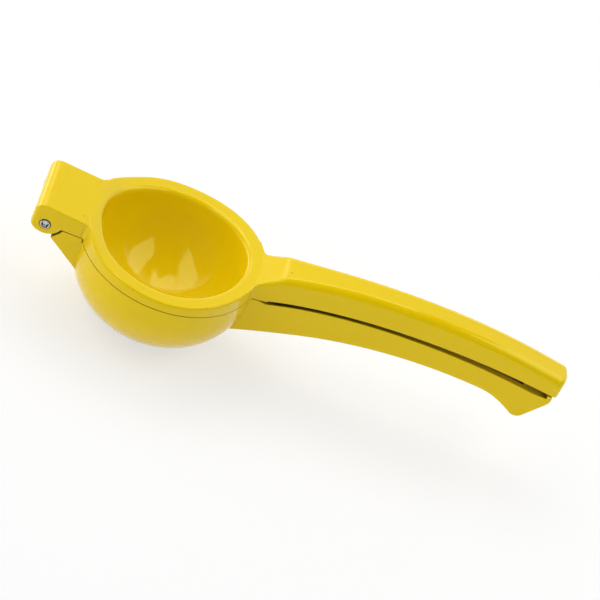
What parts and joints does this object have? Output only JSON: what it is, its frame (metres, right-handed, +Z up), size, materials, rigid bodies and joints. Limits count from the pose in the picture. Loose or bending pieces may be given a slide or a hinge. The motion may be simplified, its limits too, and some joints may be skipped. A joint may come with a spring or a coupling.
{
  "type": "lemon squeezer",
  "caption": "Hinged hand squeezer: a press bowl on the upper arm nests in a slotted cup on the lower arm, with hollow curved grips and a pinned clevis hinge.",
  "frame": {"origin": "centre of the cup's flat foot, on the axis of the cup", "axes": "+Z up along the cup's axis, +X from the hinge to the ends of the grips, Y across the squeezer, parallel to the hinge pin"},
  "size_m": [0.2087, 0.07, 0.0511],
  "materials": {
    "yellow_coating": "smooth glossy yellow coating over cast aluminium",
    "pin_steel": "plain steel pin with rolled, dished ends"
  },
  "bodies": {
    "lower_arm": {"lower_arm": "yellow_coating"},
    "upper_arm": {"upper_arm": "yellow_coating", "hinge_pin": "pin_steel"}
  },
  "joints": [
    {"name": "hinge", "type": "hinge", "parent": "lower_arm", "child": "upper_arm", "pos_m": [-0.0473, 0, 0.0341], "axis": [0, -1, 0], "range_deg": [0, 140]}
  ]
}
